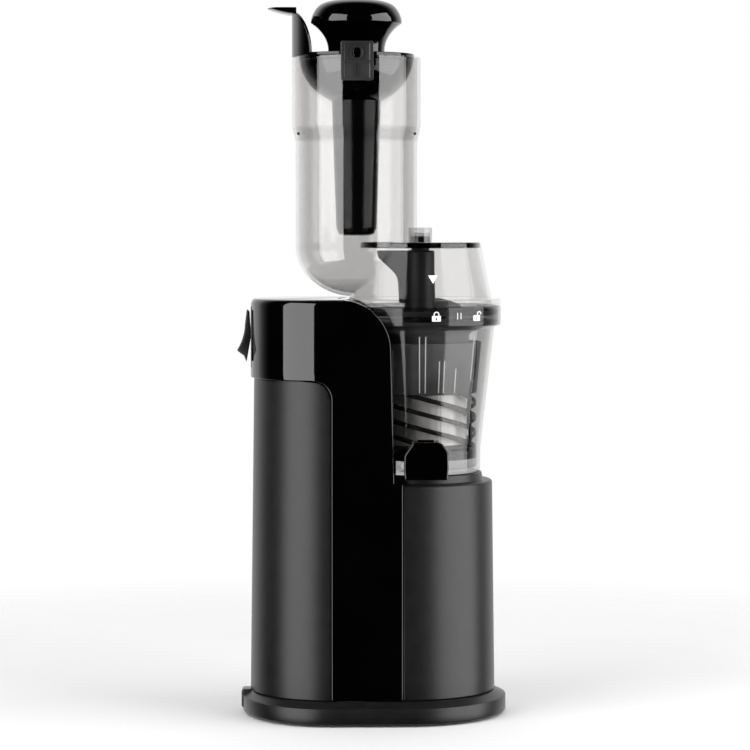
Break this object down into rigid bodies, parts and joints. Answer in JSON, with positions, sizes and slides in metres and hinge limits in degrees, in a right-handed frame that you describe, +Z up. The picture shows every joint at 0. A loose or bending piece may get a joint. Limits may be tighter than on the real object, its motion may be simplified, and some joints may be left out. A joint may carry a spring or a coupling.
{
  "type": "slow juicer",
  "caption": "Upright slow juicer: tall black motor body with a clear juicing bowl, auger and strainer, and a wide clear feed tube with gate and pusher.",
  "frame": {"origin": "on the floor, under the middle of the bounding box", "axes": "+Z up, front with the juice spout towards -Y, bowl towards +X and switch towards -X"},
  "size_m": [0.19, 0.184, 0.5016],
  "materials": {
    "matte_black": "fine satin texture",
    "gloss_black": "piano gloss",
    "black_plastic": "plain moulded",
    "clear_plastic": "clear, faintly grey",
    "smoke_plastic": "clear, smoke grey",
    "steel": "plain",
    "nylon": "natural",
    "rubber": "matte",
    "silicone": "satin",
    "copper_wire": "enamelled wire",
    "circuit_board": "solder mask"
  },
  "bodies": {
    "base": {"plinth": "matte_black", "bottom_plate": "black_plastic", "rubber_foot_1": "rubber", "rubber_foot_2": "rubber", "rubber_foot_3": "rubber", "rubber_foot_4": "rubber", "base_screw_1": "steel", "base_screw_2": "steel", "base_screw_3": "steel", "base_screw_4": "steel", "cord_inlet": "black_plastic", "left_shell": "matte_black", "right_shell": "matte_black", "front_cover": "gloss_black", "rear_cover": "gloss_black", "cradle_wall": "black_plastic", "switch_body": "black_plastic", "control_board": "circuit_board", "motor_can": "steel", "motor_end_plate": "steel", "motor_mount": "black_plastic", "stator_core": "steel", "lower_winding": "copper_wire", "upper_winding": "copper_wire", "lower_bearing": "steel", "upper_bearing": "steel", "gearbox_case": "black_plastic", "gearbox_cover": "black_plastic", "shaft_seal": "silicone"},
    "rocker": {"rocker_switch": "black_plastic"},
    "rotor": {"rotor_core": "steel", "motor_shaft": "steel", "cooling_fan": "nylon", "sun_gear": "steel"},
    "carrier": {"first_carrier": "steel"},
    "planet_1": {"planet_gear_1": "nylon"},
    "planet_2": {"planet_gear_2": "nylon"},
    "planet_3": {"planet_gear_3": "nylon"},
    "output": {"output_shaft": "steel"},
    "planet_4": {"planet_gear_4": "nylon"},
    "planet_5": {"planet_gear_5": "nylon"},
    "planet_6": {"planet_gear_6": "nylon"},
    "bowl_set": {"bowl": "smoke_plastic", "bowl_seal": "silicone", "spout_cap_pin": "steel", "strainer_frame": "black_plastic", "strainer_mesh": "steel"},
    "screw": {"auger": "black_plastic"},
    "idler": {"idler_gear": "nylon"},
    "wiper": {"wiper_cage": "black_plastic", "wiper_blade_1": "silicone", "wiper_blade_2": "silicone", "wiper_blade_3": "silicone"},
    "spout_flap": {"spout_cap": "gloss_black", "spout_gasket": "silicone"},
    "lid": {"lid_and_feed_tube": "clear_plastic", "lid_gasket": "silicone", "feed_gate": "gloss_black"},
    "pusher": {"pusher_rod": "gloss_black", "pusher_knob": "gloss_black"}
  },
  "joints": [
    {"name": "rocker_tilt", "type": "hinge", "parent": "base", "child": "rocker", "pos_m": [-0.0846, 0, 0.2655], "axis": [0, -1, 0], "range_deg": [0, 20]},
    {"name": "rotor_spin", "type": "hinge", "parent": "base", "child": "rotor", "pos_m": [0.0344, 0, 0.15], "axis": [0, 0, 1], "continuous": true},
    {"name": "carrier_spin", "type": "hinge", "parent": "base", "child": "carrier", "pos_m": [0.0344, 0, 0.15], "axis": [0, 0, 1], "continuous": true},
    {"name": "output_spin", "type": "hinge", "parent": "base", "child": "output", "pos_m": [0.0344, 0, 0.15], "axis": [0, 0, 1], "continuous": true},
    {"name": "planet_1_spin", "type": "hinge", "parent": "carrier", "child": "planet_1", "pos_m": [0.0524, 0, 0.15], "axis": [0, 0, 1], "continuous": true},
    {"name": "planet_2_spin", "type": "hinge", "parent": "carrier", "child": "planet_2", "pos_m": [0.0254, 0.01559, 0.15], "axis": [0, 0, 1], "continuous": true},
    {"name": "planet_3_spin", "type": "hinge", "parent": "carrier", "child": "planet_3", "pos_m": [0.0254, -0.01559, 0.15], "axis": [0, 0, 1], "continuous": true},
    {"name": "planet_4_spin", "type": "hinge", "parent": "output", "child": "planet_4", "pos_m": [0.0524, 0, 0.15], "axis": [0, 0, 1], "continuous": true},
    {"name": "planet_5_spin", "type": "hinge", "parent": "output", "child": "planet_5", "pos_m": [0.0254, 0.01559, 0.15], "axis": [0, 0, 1], "continuous": true},
    {"name": "planet_6_spin", "type": "hinge", "parent": "output", "child": "planet_6", "pos_m": [0.0254, -0.01559, 0.15], "axis": [0, 0, 1], "continuous": true},
    {"name": "bowl_lift", "type": "slide", "parent": "base", "child": "bowl_set", "axis": [0, 0, 1], "range_m": [0, 0.06]},
    {"name": "auger_spin", "type": "hinge", "parent": "bowl_set", "child": "screw", "pos_m": [0.0344, 0, 0.15], "axis": [0, 0, 1], "continuous": true},
    {"name": "idler_spin", "type": "hinge", "parent": "bowl_set", "child": "idler", "pos_m": [0.05352, -0.01611, 0.15], "axis": [0, 0, 1], "continuous": true},
    {"name": "wiper_spin", "type": "hinge", "parent": "bowl_set", "child": "wiper", "pos_m": [0.0344, 0, 0.15], "axis": [0, 0, 1], "continuous": true},
    {"name": "spout_cap_hinge", "type": "hinge", "parent": "bowl_set", "child": "spout_flap", "pos_m": [0.0355, -0.08, 0.196], "axis": [-1, 0, 0], "range_deg": [0, 100]},
    {"name": "lid_turn", "type": "hinge", "parent": "bowl_set", "child": "lid", "pos_m": [0.0344, 0, 0.29], "axis": [0, 0, 1], "range_deg": [0, 34]},
    {"name": "pusher_slide", "type": "slide", "parent": "lid", "child": "pusher", "axis": [0, 0, 1], "range_m": [0, 0.165]}
  ],
  "couplings": [
    {"joint": "carrier_spin", "follows": "rotor_spin", "ratio": 0.16667},
    {"joint": "output_spin", "follows": "rotor_spin", "ratio": 0.027778},
    {"joint": "auger_spin", "follows": "rotor_spin", "ratio": 0.027778},
    {"joint": "idler_spin", "follows": "rotor_spin", "ratio": -0.035354},
    {"joint": "wiper_spin", "follows": "rotor_spin", "ratio": -0.010802},
    {"joint": "planet_1_spin", "follows": "rotor_spin", "ratio": -0.41667},
    {"joint": "planet_2_spin", "follows": "rotor_spin", "ratio": -0.41667},
    {"joint": "planet_3_spin", "follows": "rotor_spin", "ratio": -0.41667},
    {"joint": "planet_4_spin", "follows": "rotor_spin", "ratio": -0.069444},
    {"joint": "planet_5_spin", "follows": "rotor_spin", "ratio": -0.069444},
    {"joint": "planet_6_spin", "follows": "rotor_spin", "ratio": -0.069444}
  ]
}
